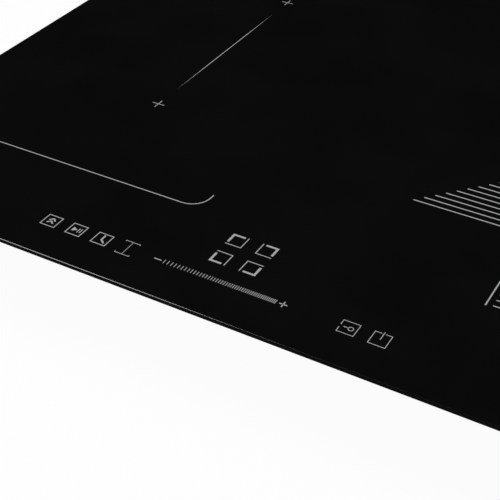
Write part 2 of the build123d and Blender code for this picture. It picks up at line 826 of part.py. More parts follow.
with BuildPart() as terminal_cover:
    cover_top = window_z + window_height / 2 + cover_lap
    knuckle_half = lug_half - lug_thick / 2 - loose_fit
    leaf_half = window_width / 2 + cover_lap
    with BuildSketch(Plane.YZ.offset(window_x)):
        with Locations((hinge_y, hinge_z)):
            Circle(hinge_radius)
        with BuildLine():
            Polyline(
                (hinge_y - hinge_radius, hinge_z),
                (hinge_y - hinge_radius, cover_top),
                (hinge_y - hinge_radius + cover_thick, cover_top),
                (hinge_y - hinge_radius + cover_thick, hinge_z),
                close=True,
            )
        make_face()
    extrude(amount=knuckle_half, both=True)
    # the leaf widens above the lugs to overlap the window on both sides
    with BuildSketch(Plane.XZ.offset(-(hinge_y - hinge_radius))):
        with BuildLine():
            Polyline(
                (window_x - leaf_half, hinge_z + hinge_radius + 1),
                (window_x + leaf_half, hinge_z + hinge_radius + 1),
                (window_x + leaf_half, cover_top),
                (window_x - leaf_half, cover_top),
                close=True,
            )
        make_face()
    extrude(amount=-cover_thick)
    # a lip along the top edge to pull it open by
    with BuildSketch(Plane.XY.offset(cover_top - pull_lip_thick)):
        with Locations((window_x, hinge_y - hinge_radius + pull_lip_width / 2)):
            SlotOverall(pull_lip_length, pull_lip_width)
    extrude(amount=pull_lip_thick)
    with BuildSketch(Plane.YZ.offset(window_x)):
        with Locations((hinge_y, hinge_z)):
            Circle(hinge_pin)
    extrude(amount=lug_half + lug_thick / 2, both=True)
write(terminal_cover, "terminal_cover")

with BuildPart() as cable_grommet:
    with BuildSketch(Plane.XZ.offset(-(tray_back + grommet_proud))):
        with Locations((cable_x, cable_z)):
            Circle(grommet_flange)
    extrude(amount=grommet_length)
    # the groove that the tray's wall sits in
    with BuildSketch(Plane.XZ.offset(-(tray_back + running_fit))):
        with Locations((cable_x, cable_z)):
            Circle(grommet_flange)
            Circle(grommet_neck, mode=Mode.SUBTRACT)
    extrude(amount=sheet + 2 * running_fit, mode=Mode.SUBTRACT)
    with BuildSketch(Plane.XZ.offset(-(tray_back + grommet_proud))):
        with Locations((cable_x, cable_z)):
            Circle(cable_radius)
    extrude(amount=grommet_length, mode=Mode.SUBTRACT)
write(cable_grommet, "cable_grommet")

# ======== controls ========

control_floor = step_z + sheet
control_front = tray_front + sheet + loose_fit
control_back = slope_top_y - control_slope_gap
control_mid_y = (control_front + control_back) / 2
control_depth = control_back - control_front
control_top = flange_bottom - loose_fit
panel_bottom = control_floor + control_wall + control_board_lift
panel_top = panel_bottom + board_thick
with BuildPart() as control_tray:
    with BuildSketch(Plane.XY.offset(control_floor)):
        with Locations((control_x, control_mid_y)):
            RectangleRounded(control_width, control_depth, 4)
    extrude(amount=control_top - control_floor)
    offset(amount=-control_wall, openings=control_tray.faces().sort_by(Axis.Z)[-1])
    # bosses under the board
    with BuildSketch(Plane.XY.offset(control_floor + control_wall)):
        with Locations((control_x, control_mid_y)):
            with GridLocations(control_width / 2 - 20, control_depth - 14, 3, 2):
                RegularPolygon(2.5, 6)
    extrude(amount=control_board_lift)
write(control_tray, "control_tray")

with BuildPart() as control_board:
    with BuildSketch(Plane.XY.offset(panel_bottom)):
        with Locations((control_x, control_mid_y)):
            board_gap = 2 * (control_wall + loose_fit)
            RectangleRounded(control_width - board_gap, control_depth - board_gap, 2)
    extrude(amount=board_thick)
write(control_board, "control_board")

with BuildPart() as touch_pads:
    with BuildSketch(Plane.XY.offset(panel_top)):
        with Locations(*[(x, key_row_y) for x in key_places]):
            RegularPolygon(touch_pad_radius, 8)
    extrude(amount=glass_bottom - loose_fit - panel_top)
write(touch_pads, "touch_pads")

with BuildPart() as zone_displays:
    with BuildSketch(Plane.XY.offset(panel_top)):
        with Locations(*[(x, key_row_y + rise) for x in (-zone_mark_x, zone_mark_x) for rise in zone_mark_rise]):
            Rectangle(display_side, display_side)
    extrude(amount=glass_bottom - loose_fit - panel_top)
write(zone_displays, "zone_displays")

with BuildPart() as slider_light_bar:
    with BuildSketch(Plane.XY.offset(panel_top)):
        with Locations((sum(slider_span) / 2, key_row_y)):
            Rectangle(slider_span[1] - slider_span[0], slider_bar_width)
    extrude(amount=glass_bottom - loose_fit - panel_top)
write(slider_light_bar, "slider_light_bar")

# ======== worktop clamps ========

with BuildPart() as clamp_screws:
    with BuildSketch(Plane.XY.offset(bush_bottom - loose_fit - clamp_head_height)):
        with Locations(*clamp_places):
            RegularPolygon(clamp_head_radius, 6)
    extrude(amount=clamp_head_height)
    with BuildSketch(Plane.XY.offset(bush_bottom - loose_fit)):
        with Locations(*clamp_places):
            Circle(clamp_screw_radius)
    extrude(amount=pocket_roof + sheet + weld_nut_height - bush_bottom + loose_fit)
write(clamp_screws, "clamp_screws")

for side_name, side in sides.items():
    for row_name, row in rows.items():
        place = f"{row_name}_{side_name}"
        pivot = (side * clamp_x, pocket_rows[row] + clamp_offset)

        with BuildPart() as clamp_bush:
            with BuildSketch(Plane.XY.offset(bush_bottom)):
                with Locations(pivot):
                    RegularPolygon(bush_flange_radius, 6)
            extrude(amount=hook_bottom - bush_bottom)
            with BuildSketch(Plane.XY.offset(hook_bottom)):
                with Locations(pivot):
                    Circle(bush_radius)
            extrude(amount=hook_thick + loose_fit)
            with BuildSketch(Plane.XY.offset(bush_bottom)):
                with Locations(pivot):
                    Circle(clamp_screw_radius + running_fit)
            extrude(amount=hook_top + loose_fit - bush_bottom, mode=Mode.SUBTRACT)
        write(clamp_bush, f"clamp_bush_{place}")

        # a flat arm with an upturned, toothed end that bites into the worktop's underside
        tip_y = pivot[1] - hook_reach
        with BuildPart() as clamp_hook:
            with BuildSketch(Plane.XY.offset(hook_bottom)):
                with Locations(pivot):
                    Circle(hook_hub)
                with Locations((pivot[0], (pivot[1] + tip_y) / 2)):
                    Rectangle(hook_width, hook_reach)
            extrude(amount=hook_thick)
            with BuildSketch(Plane.XZ.offset(-tip_y)):
                with BuildLine():
                    Polyline(
                        (pivot[0] - hook_width / 2, hook_bottom),
                        (pivot[0] - hook_width / 2, hook_top + hook_rise),
                        (pivot[0] - hook_width / 4, hook_top + hook_rise - 2),
                        (pivot[0], hook_top + hook_rise),
                        (pivot[0] + hook_width / 4, hook_top + hook_rise - 2),
                        (pivot[0] + hook_width / 2, hook_top + hook_rise),
                        (pivot[0] + hook_width / 2, hook_bottom),
                        close=True,
                    )
                make_face()
            extrude(amount=-hook_thick)
            with BuildSketch(Plane.XY.offset(hook_bottom)):
                with Locations(pivot):
                    Circle(bush_radius + running_fit)
            extrude(amount=hook_thick, mode=Mode.SUBTRACT)
        write(clamp_hook, f"clamp_hook_{place}")
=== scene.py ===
# %% [markdown]
# # A built-in induction hob
# The hob's solids are already measured and fixed: glass, case, coils, blowers, clamps.
# This lesson gives them their finishes, prints the marks on the glass, and lights them.
# Places are counted in mm from the solids' own boxes and from the hob's middle, so that
# each mark can be measured on the glass with a ruler.

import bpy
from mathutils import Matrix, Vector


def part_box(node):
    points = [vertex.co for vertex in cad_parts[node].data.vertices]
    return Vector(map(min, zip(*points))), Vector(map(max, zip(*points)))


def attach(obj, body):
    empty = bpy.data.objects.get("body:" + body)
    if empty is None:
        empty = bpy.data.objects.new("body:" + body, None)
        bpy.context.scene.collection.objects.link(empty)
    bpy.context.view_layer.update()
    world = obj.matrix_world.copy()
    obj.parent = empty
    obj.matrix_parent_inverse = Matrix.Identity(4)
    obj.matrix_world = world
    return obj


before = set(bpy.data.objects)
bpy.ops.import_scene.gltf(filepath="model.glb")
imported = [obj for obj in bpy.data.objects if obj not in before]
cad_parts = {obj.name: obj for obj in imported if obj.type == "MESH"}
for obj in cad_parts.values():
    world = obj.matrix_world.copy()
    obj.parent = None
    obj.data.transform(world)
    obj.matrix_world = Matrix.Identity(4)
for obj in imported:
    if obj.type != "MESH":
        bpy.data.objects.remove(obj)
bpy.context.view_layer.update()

# %% The other tools
from math import cos, log, radians, sin

import bmesh
import bpy
from mathutils import Vector

MM = 0.001
glass_low, glass_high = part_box("glass_top")

# %% [markdown]
# ## The camera
# A hob is drawn from a standing cook's right shoulder, close enough to read its touch keys.
# A camera could be turned by three angles. It is easier to say where it stands and what it
# looks at, and to let a vector turn it: `to_track_quat` points its -Z axis along that line.
# Both places are given in mm from the middle and the front edge of the glass's top.

# %% The camera
aim_right, aim_inwards = 0.8, 65.7
stand_right, stand_back, stand_above = 277.0, 416.1, 417.1
camera = bpy.data.objects.new("camera", bpy.data.cameras.new("camera"))
bpy.context.scene.collection.objects.link(camera)
camera.data.sensor_width = 36
camera.data.lens = 82.78
camera_aim = Vector((aim_right * MM, glass_low.y + aim_inwards * MM, glass_high.z))
camera.location = Vector(
    (stand_right * MM, glass_low.y - stand_back * MM, glass_high.z + stand_above * MM)
)
camera.rotation_euler = (camera_aim - camera.location).to_track_quat("-Z", "Y").to_euler()
camera.data.clip_start = 0.02
camera.data.clip_end = 60
bpy.context.scene.camera = camera
print("camera stands", round((camera_aim - camera.location).length, 3), "m from what it looks at")

# %% [markdown]
# ## A finish as a recipe
# A real surface is never one flat colour. Most of this hob's finishes differ only in a few
# things: two near colours, how large their patches are, how rough the surface is, and how
# deep its grain. One function can write that recipe as nodes, so each finish is one call.
# Noise in object coordinates is used, because it needs no unwrapping and stays in place.

# %% A recipe for finishes
def finish(name, colours, patch, roughness, metal=0.0, grain=0.0, grain_size=0.5, gloss=0.5):
    """A finish of two near colours in patches, rough between two values. Sizes are in mm."""
    material = bpy.data.materials.new(name)
    material.use_nodes = True
    nodes, links = material.node_tree.nodes, material.node_tree.links
    shader = nodes["Principled BSDF"]
    shader.inputs["Metallic"].default_value = metal
    shader.inputs["Specular IOR Level"].default_value = gloss
    place = nodes.new("ShaderNodeTexCoord")
    patches = nodes.new("ShaderNodeTexNoise")
    patches.inputs["Scale"].default_value = 1 / (patch * MM)
    patches.inputs["Detail"].default_value = 4
    links.new(place.outputs["Object"], patches.inputs["Vector"])
    shade = nodes.new("ShaderNodeValToRGB")
    for stop, spot, colour in zip(shade.color_ramp.elements, (0.35, 0.65), colours):
        stop.position = spot
        stop.color = (*colour, 1)
    links.new(patches.outputs["Fac"], shade.inputs["Fac"])
    links.new(shade.outputs["Color"], shader.inputs["Base Color"])
    rough = nodes.new("ShaderNodeMapRange")
    rough.inputs["To Min"].default_value, rough.inputs["To Max"].default_value = roughness
    links.new(patches.outputs["Fac"], rough.inputs["Value"])
    links.new(rough.outputs["Result"], shader.inputs["Roughness"])
    if grain:
        grains = nodes.new("ShaderNodeTexNoise")
        grains.inputs["Scale"].default_value = 1 / (grain_size * MM)
        links.new(place.outputs["Object"], grains.inputs["Vector"])
        bump = nodes.new("ShaderNodeBump")
        bump.inputs["Distance"].default_value = grain * MM
        bump.inputs["Strength"].default_value = 0.6
        links.new(grains.outputs["Fac"], bump.inputs["Height"])
        links.new(bump.outputs["Normal"], shader.inputs["Normal"])
    return material


def grey(value):
    return (value, value, value)


# %% [markdown]
# ## Dressing the solids
# Each solid keeps its shape and takes a new finish in its material slot. A small function
# does that for a list of solids, so that no solid is forgotten: it counts them.

# %% A function that dresses solids
dressed = set()
rows = ("front", "rear")
sides = ("left", "right")


def dress(material, *names):
    for name in names:
        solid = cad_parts[name]
        solid.data.materials.clear()
        solid.data.materials.append(material)
        dressed.add(name)
    print(material.name, "->", len(names), "solids")


def both_sides(*names):
    return [f"{name}_{side}" for name in names for side in sides]


def four(*names):
    return [f"{name}_{row}_{side}" for name in names for row in rows for side in sides]


# %% [markdown]
# ## Black glass-ceramic
# The plate is glass-ceramic, coated black underneath. It is almost a perfect black with a
# polish that shows only what is bright and low around it. Clear glass over a black sheet
# could be built, but an opaque near-black with a glass's gloss looks the same and renders
# faster. The faintest haze in its roughness keeps the polish from looking computed.
# Along the upper rim runs the arris, a narrow satin slope. On a real plate it is slightly
# rounded, so that only its lower part catches the light. Here the slope is flat. Nodes ask
# how far a face leans and how high a point lies, and let the slope shine low down only.
# The finish gets a stronger shine than glass for that bright line, and everywhere else its
# gloss is turned back down to glass's own.

# %% Black glass-ceramic
glass_ior = 1.8
glass_gloss = 0.245
arris_satin = 0.2
arris_lean, lean_margin = 0.707, 0.2
arris_dark_height = 0.24
black_glass = finish(
    "black_glass_ceramic", (grey(0.0032), grey(0.004)), patch=60, roughness=(0.05, 0.09)
)


def satin_arris(material):
    """Makes the upper arris satin, and bright only in the lower part of its height."""
    nodes, links = material.node_tree.nodes, material.node_tree.links
    shader = nodes["Principled BSDF"]
    shader.inputs["IOR"].default_value = glass_ior
    facing = nodes.new("ShaderNodeNewGeometry")
    facing_parts = nodes.new("ShaderNodeSeparateXYZ")
    links.new(facing.outputs["True Normal"], facing_parts.inputs[0])
    leaning = nodes.new("ShaderNodeMath")
    leaning.operation = "COMPARE"
    leaning.inputs[1].default_value = arris_lean
    leaning.inputs[2].default_value = lean_margin
    links.new(facing_parts.outputs["Z"], leaning.inputs[0])
    satin = nodes.new("ShaderNodeMix")
    satin.inputs["B"].default_value = arris_satin
    links.new(leaning.outputs[0], satin.inputs["Factor"])
    links.new(nodes["Map Range"].outputs["Result"], satin.inputs["A"])
    links.new(satin.outputs["Result"], shader.inputs["Roughness"])
    place_parts = nodes.new("ShaderNodeSeparateXYZ")
    links.new(nodes["Texture Coordinate"].outputs["Object"], place_parts.inputs[0])
    low = nodes.new("ShaderNodeMath")
    low.operation = "LESS_THAN"
    low.inputs[1].default_value = glass_high.z - arris_dark_height * MM
    links.new(place_parts.outputs["Z"], low.inputs[0])
    shine = nodes.new("ShaderNodeMix")
    shine.inputs["A"].default_value = glass_gloss
    links.new(leaning.outputs[0], shine.inputs["Factor"])
    links.new(low.outputs[0], shine.inputs["B"])
    links.new(shine.outputs["Result"], shader.inputs["Specular IOR Level"])


satin_arris(black_glass)
dress(black_glass, "glass_top")

# %% [markdown]
# ## The ground edge of the glass
# Under the arris the glass's edge is ground with a diamond wheel and stays dull and dark.
# A dull band could be masked inside the glass's finish. A thin skin around the plate is
# simpler: an outline of four straight sides and four rounded corners, swept up.

# %% An outline with rounded corners
def bend(centre, radius, start, end, steps=8):
    """Points along an arc, from one angle to another, in degrees."""
    angles = [radians(start + (end - start) * i / steps) for i in range(steps + 1)]
    return [(centre[0] + radius * cos(a), centre[1] + radius * sin(a)) for a in angles]


def rounded_outline(left, front, right, back, radius):
    return (
        bend((right - radius, back - radius), radius, 0, 90)
        + bend((left + radius, back - radius), radius, 90, 180)
        + bend((left + radius, front + radius), radius, 180, 270)
        + bend((right - radius, front + radius), radius, 270, 360)
    )


# %% A band swept up from an outline
def piece_from(name, mesh_maker, material, body="case"):
    """Makes a mesh piece, gives it its finish and lets it ride on a body."""
    mesh = bpy.data.meshes.new(name)
    builder = bmesh.new()
    mesh_maker(builder)
    bmesh.ops.recalc_face_normals(builder, faces=builder.faces)
    builder.to_mesh(mesh)
    builder.free()
    piece = bpy.data.objects.new(name, mesh)
    bpy.context.scene.collection.objects.link(piece)
    mesh.materials.append(material)
    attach(piece, body)
    return piece


edge_skin = 0.04
corner_radius = 6.0
arris = 0.4
under_arris = 0.9
ground_outline = rounded_outline(
    glass_low.x / MM - edge_skin,
    glass_low.y / MM - edge_skin,
    glass_high.x / MM + edge_skin,
    glass_high.y / MM + edge_skin,
    corner_radius + edge_skin,
)


def sweep_ground_edge(builder):
    bottom = glass_low.z + under_arris * MM
    top = glass_high.z - arris * MM
    rings = [
        [builder.verts.new((x * MM, y * MM, z)) for x, y in ground_outline] for z in (bottom, top)
    ]
    for i, low in enumerate(rings[0]):
        j = (i + 1) % len(ground_outline)
        builder.faces.new((low, rings[0][j], rings[1][j], rings[1][i]))


ground_black = finish(
    "ground_glass_edge",
    (grey(0.002), grey(0.004)),
    patch=3,
    roughness=(0.55, 0.75),
    grain=0.02,
    gloss=0.02,
)
ground_edge = piece_from("glass_ground_edge", sweep_ground_edge, ground_black)
ground_height = (glass_high.z - glass_low.z) / MM - arris - under_arris
print("ground edge is", round(ground_height, 2), "mm high")

# %% [markdown]
# ## Printed marks
# The keys and cooking zones are screen-printed on the glass in pale grey ceramic ink and
# fired in. An image would blur up close, so each mark is cut as a real film of ink from
# strokes: a path, and half a width to either side of it. Where a path turns, both sides
# meet at a mitre, as a plotter would cut it. Solidify then gives the film its thickness,
# and a tenth of it is left as air, so that film and glass never share a surface.

# %% Ink
ink_grey = finish(
    "fired_ceramic_ink", (grey(0.39), grey(0.43)), patch=2, roughness=(0.5, 0.62), gloss=0.3
)
ink_thickness = 0.03
film_share = 0.9
key_line = 0.62
slim_line = 0.44
hair_line = 0.32
sign_line = 0.76
zone_line = 0.76
stripe_line = 0.9
heavy_line = 1.5


# %% A stroke of ink
def stroke_sides(path, widths, closed):
    """The two sides of a stroke, mitred where the path turns."""
    points = [Vector(p) for p in path]
    count = len(points)
    left, right = [], []
    for i, point in enumerate(points):
        before = points[i - 1] if i or closed else None
        after = points[(i + 1) % count] if i < count - 1 or closed else None
        ways = [(point - before).normalized()] if before is not None else []
        ways += [(after - point).normalized()] if after is not None else []
        normals = [Vector((-way.y, way.x)) for way in ways]
        reach = 1 + normals[0].dot(normals[-1]) if len(normals) > 1 else 1
        mitre = sum(normals, Vector((0, 0))) / reach
        left.append(point + mitre * widths[i] / 2)
        right.append(point - mitre * widths[i] / 2)
    return left, right


def lay_stroke(builder, path, width, closed=False):
    widths = width if isinstance(width, (list, tuple)) else [width] * len(path)
    height = glass_high.z + ink_thickness * MM
    left, right = stroke_sides(path, widths, closed)
    lefts = [builder.verts.new((p.x * MM, p.y * MM, height)) for p in left]
    rights = [builder.verts.new((p.x * MM, p.y * MM, height)) for p in right]
    for i in range(len(path) if closed else len(path) - 1):
        j = (i + 1) % len(path)
        builder.faces.new((rights[i], rights[j], lefts[j], lefts[i]))


# %% A printed mark
def print_mark(name, *strokes):
    """Each stroke is (path, width) or (path, width, True) for a closed one; sizes in mm."""

    def lay(builder):
        for stroke in strokes:
            lay_stroke(builder, *stroke)

    mark = piece_from("print_" + name, lay, ink_grey)
    for face in mark.data.polygons:
        if face.normal.z < 0:
            face.flip()
    film = mark.modifiers.new("film of ink", "SOLIDIFY")
    film.thickness = ink_thickness * MM * film_share
    film.offset = -1
    print("printed", name, "with", len(strokes), "strokes")
    return mark


def square(centre, side):
    x, y, half = centre[0], centre[1], side / 2
    return [(x - half, y - half), (x + half, y - half), (x + half, y + half), (x - half, y + half)]


# %% [markdown]
# ## The row of touch keys
# The keys stand in one row near the front edge. Each is an outlined square with a sign:
# full power, start and pause, and a clock for the timer. All take their place from the
# row's own line and a key's side, so the row could be moved as a whole.

# %% Full power, start and pause
front_edge = glass_low.y / MM
key_row = front_edge + 30.4
key_side = 10.4
boost_x, pause_x, clock_x = -121.8, -102.6, -83.3
chevron_high, chevron_low = key_row + 1.5, key_row - 1.3
chevron_half, chevron_rise, chevron_line = 2.3, 1.1, 1.0


def chevron(x, y):
    left, right = x - chevron_half, x + chevron_half
    return [(left, y - chevron_rise), (x, y + chevron_rise), (right, y - chevron_rise)]


print_mark(
    "boost_key",
    (square((boost_x, key_row), key_side), key_line, True),
    (chevron(boost_x, chevron_high), chevron_line),
    (chevron(boost_x, chevron_low), chevron_line),
)
play_left, play_right = pause_x - 2.9, pause_x + 0.6
play_half, play_tip = 2.1, 0.1
pause_bars = [
    ([(x, key_row - play_half), (x, key_row + play_half)], key_line)
    for x in (pause_x + 1.5, pause_x + 3.2)
]
print_mark(
    "pause_key",
    (square((pause_x, key_row), key_side), key_line, True),
    ([(play_left, key_row), (play_right, key_row)], (2 * play_half, play_tip)),
    *pause_bars,
)

# %% The timer's clock
clock_line = 1.15
clock_hands = [
    (clock_x, key_row + 4.0),
    (clock_x, key_row - 0.7),
    (clock_x + 3.2, key_row - 3.3),
]
print_mark(
    "clock_key",
    (square((clock_x, key_row), key_side), key_line, True),
    (clock_hands, clock_line),
)

# %% [markdown]
# ## The timer's bracket
# Between the clock and the slider stands a tall bracket: the timer's figures glow inside
# it. Its two bars have short hooks at their ends, and a hair-thin stem joins them.

# %% The timer's bracket
bracket_left, bracket_right = -69.4, -59.3
bracket_top, bracket_bottom = key_row + 6.5, key_row - 6.5
hook = 0.9
stem_x = (bracket_left + bracket_right) / 2


def bracket_bar(y, hook_y):
    return [(bracket_left, hook_y), (bracket_left, y), (bracket_right, y), (bracket_right, hook_y)]


print_mark(
    "timer_bracket",
    (bracket_bar(bracket_top, bracket_top - hook), slim_line),
    (bracket_bar(bracket_bottom, bracket_bottom + hook), slim_line),
    ([(stem_x, bracket_bottom), (stem_x, bracket_top)], hair_line),
)

# %% [markdown]
# ## The power slider
# A finger slides from minus to plus. The ticks between them crowd together to the right,
# so the eye reads "more". Forty-seven typed places would be dull and hard to change; a
# logarithm crowds them in the same way, as on a slide rule.

# %% Ticks that crowd together
tick_count = 47
tick_low, tick_high = key_row - 1.7, key_row + 1.8
slider_start = -37.8
tick_spread, tick_ease = 82.2, 30.4
ticks = []
for i in range(tick_count):
    tick_x = slider_start + tick_spread * log(1 + i / tick_ease)
    ticks.append(([(tick_x, tick_low), (tick_x, tick_high)], slim_line))
print_mark("slider_ticks", *ticks)

# %% Minus and plus
minus_x, plus_x, sign_half = -42.5, 42.8, 2.6
print_mark(
    "minus_sign",
    ([(minus_x - sign_half, key_row), (minus_x + sign_half, key_row)], sign_line),
)
print_mark(
    "plus_sign",
    ([(plus_x - sign_half, key_row), (plus_x + sign_half, key_row)], sign_line),
    ([(plus_x, key_row - sign_half), (plus_x, key_row + sign_half)], sign_line),
)

# %% [markdown]
# ## Four squares, one for each zone
# Over the slider four squares repeat the four cooking zones. The outer corner of each is
# drawn heavy and the inner one fine, with small gaps where they meet, so that a glance
# tells which zone it is. One drawing is mirrored for all four with two signs.

# %% Zone squares
zone_square = 10.8
zone_gap_half = 5.2
corner_gap = 2.1
zone_rows = {"front": key_row + 19.8, "rear": key_row + 39.6}
for row, row_y in zone_rows.items():
    for side, out_x in (("left", -1), ("right", 1)):
        out_y = 1 if row == "rear" else -1
        near_x, far_x = out_x * zone_gap_half, out_x * (zone_gap_half + zone_square)
        near_y, far_y = row_y - out_y * zone_square / 2, row_y + out_y * zone_square / 2
        heavy = heavy_line / 2
        print_mark(
            f"zone_square_{row}_{side}",
            (
                [
                    (near_x + out_x * corner_gap, far_y - out_y * heavy),
                    (far_x - out_x * heavy, far_y - out_y * heavy),
                    (far_x - out_x * heavy, near_y + out_y * corner_gap),
                ],
                heavy_line,
            ),
            ([(near_x, far_y), (near_x, near_y), (far_x, near_y)], key_line),
        )

# %% [markdown]
# ## Lock and power
# On the right are the lock, drawn as a key lying in a square that is open where the key
# points, and the power key, whose stroke crosses the square's open top side. The power
# key's square reaches a little further forward than the others.

# %% The lock
lock_x, power_x = 83.95, 103.2
key_half = key_side / 2
keys_back, keys_front = key_row + key_half, key_row - key_half
lock_left, lock_right = lock_x - key_half, lock_x + key_half
lock_gap_back, lock_gap_front = key_row + 1.0, key_row - 1.3
bow_middle, bow_radius = (lock_x + 1.5, key_row - 0.2), 1.55
shank_left = lock_x - 2.3
tip_left, tip_right, tip_widths = lock_x - 3.1, lock_x - 1.9, (0.2, 1.2)
print_mark(
    "lock_key",
    (
        [
            (lock_left, lock_gap_back),
            (lock_left, keys_back),
            (lock_right, keys_back),
            (lock_right, keys_front),
            (lock_left, keys_front),
            (lock_left, lock_gap_front),
        ],
        slim_line,
    ),
    (bend(bow_middle, bow_radius, 0, 360, steps=20)[:-1], slim_line, True),
    ([(shank_left, key_row), (lock_x, key_row)], slim_line),
    ([(tip_left, key_row), (tip_right, key_row)], tip_widths),
)

# %% The power key
power_left, power_right = power_x - key_half, power_x + key_half
power_front = keys_front - 0.3
power_gap_half = 1.0
power_bar_front, power_bar_back = key_row - 0.1, key_row + 6.8
print_mark(
    "power_key",
    (
        [
            (power_x + power_gap_half, keys_back),
            (power_right, keys_back),
            (power_right, power_front),
            (power_left, power_front),
            (power_left, keys_back),
            (power_x - power_gap_half, keys_back),
        ],
        slim_line,
    ),
    ([(power_x, power_bar_front), (power_x, power_bar_back)], slim_line),
)

# %% [markdown]
# ## The cooking zones
# On the left, two zones can be joined for a long pan. A line runs along their outer edge
# and turns inwards with a round corner; a small cross marks the middle of each coil, and a
# fine line that swells out of nothing ties the two crosses. The place of a cross comes
# from the coil's own box, because the mark must lie over the coil.

# %% Places over the coils
def coil_middle(row, side):
    low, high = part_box(f"coil_winding_{row}_{side}")
    return (low.x + high.x) / 2 / MM, (low.y + high.y) / 2 / MM


front_left = coil_middle("front", "left")
rear_left = coil_middle("rear", "left")
zone_middle_y = (front_left[1] + rear_left[1]) / 2
print("coils' middles, mm:", [round(v, 1) for v in front_left + rear_left])

# %% The left zones' outline
outline_left, outline_right = -241.4, -48.7
outline_front = front_edge + 88.1
outline_back = 2 * zone_middle_y - outline_front
outline_bend = 13.4
open_end = outline_front + 17.1


def corner_stroke(y_line, y_end, turn):
    """A front or back line with a round corner at each end, and short upright ends."""
    x_low, x_high = outline_left + outline_bend, outline_right - outline_bend
    y_middle = y_line + turn * outline_bend
    turned = 180 + 90 * turn
    low_bend = bend((x_low, y_middle), outline_bend, 180, turned)
    high_bend = bend((x_high, y_middle), outline_bend, turned, turned + 90 * turn)
    return [(outline_left, y_end)] + low_bend + high_bend + [(outline_right, y_end)]


print_mark(
    "left_zone_outline",
    (corner_stroke(outline_front, open_end, 1), zone_line),
    (corner_stroke(outline_back, 2 * zone_middle_y - open_end, -1), zone_line),
)

# %% Crosses over the coils and the line that ties them
cross_arm = 4.9
for row, (x, y) in (("front", front_left), ("rear", rear_left)):
    print_mark(
        f"coil_cross_{row}_left",
        ([(x - cross_arm, y), (x + cross_arm, y)], key_line),
        ([(x, y - cross_arm), (x, y + cross_arm)], key_line),
    )
tie_margin, tie_swell = 27, 42
tie_tip, tie_middle = 0.02, 0.6
tie_start, tie_end = front_left[1] + tie_margin, rear_left[1] - tie_margin
tie_path = [
    (front_left[0], y) for y in (tie_start, tie_start + tie_swell, tie_end - tie_swell, tie_end)
]
print_mark("left_zone_tie", (tie_path, (tie_tip, tie_middle, tie_middle, tie_tip)))

# %% [markdown]
# ## The right zones
# The right-hand pair has its own sign: fine stripes that grow shorter step by step, like
# two wedges pointing at each other over the middle. Each stripe is one stroke, shorter
# than the last by the same step, and mirrored for the rear zone.

# %% Wedges of stripes
stripe_count = 13
stripe_step_x, stripe_step_y = 5.17, 5.8
stripe_left, stripe_front = 64.9, front_edge + 164.6
stripe_back = 2 * zone_middle_y - stripe_front
front_right = coil_middle("front", "right")
stripe_half = front_right[0] - stripe_left
stripes = []
for i in range(stripe_count):
    reach = stripe_half - i * stripe_step_x
    for y in (stripe_front + i * stripe_step_y, stripe_back - i * stripe_step_y):
        stripes.append(([(front_right[0] - reach, y), (front_right[0] + reach, y)], stripe_line))
print_mark("right_zone_stripes", *stripes)

# %% [markdown]
# ## The level mark in front of the right zones
# An upright stroke with short level lines beside it stands in front of the stripes, like a
# small ruler. Each line has its own rise from the stroke's foot and its own length.

# %% The level mark
level_x, level_front = 142.6, front_edge + 87.0
level_height, level_line = 26, 0.85
rung_left = level_x + 4.1
rungs = [
    ([(rung_left, level_front + rise), (rung_left + length, level_front + rise)], zone_line)
    for rise, length in ((1.6, 26), (7.1, 22), (12.8, 18), (18.5, 14))
]
upright = [(level_x, level_front), (level_x, level_front + level_height)]
print_mark("level_mark", (upright, level_line), *rungs)

# %% [markdown]
# ## Sheet steel, aluminium and screws
# The case is folded from galvanised sheet. Its zinc freezes in flakes called spangle, and
# each flake catches the light a little differently. Voronoi cells are exactly such flakes:
# their random colour becomes a small change of shade and roughness.

# %% Galvanised sheet with spangle
def spangled_zinc(name, dark, light, flake):
    material = finish(name, (grey(dark), grey(light)), patch=90, roughness=(0.32, 0.45), metal=0.8)
    nodes, links = material.node_tree.nodes, material.node_tree.links
    place = nodes.new("ShaderNodeTexCoord")
    flakes = nodes.new("ShaderNodeTexVoronoi")
    flakes.inputs["Scale"].default_value = 1 / (flake * MM)
    links.new(place.outputs["Object"], flakes.inputs["Vector"])
    shade = nodes.new("ShaderNodeMapRange")
    shade.inputs["To Min"].default_value, shade.inputs["To Max"].default_value = 0.28, 0.5
    links.new(flakes.outputs["Distance"], shade.inputs["Value"])
    shader = nodes["Principled BSDF"]
    links.new(shade.outputs["Result"], shader.inputs["Roughness"])
    tint = nodes.new("ShaderNodeHueSaturation")
    tint.inputs["Saturation"].default_value = 0
    links.new(flakes.outputs["Color"], tint.inputs["Color"])
    blend = nodes.new("ShaderNodeMix")
    blend.data_type = "RGBA"
    blend.blend_type = "OVERLAY"
    blend.inputs["Factor"].default_value = 0.1
    links.new(nodes["Color Ramp"].outputs["Color"], blend.inputs["A"])
    links.new(tint.outputs["Color"], blend.inputs["B"])
    links.new(blend.outputs["Result"], shader.inputs["Base Color"])
    return material


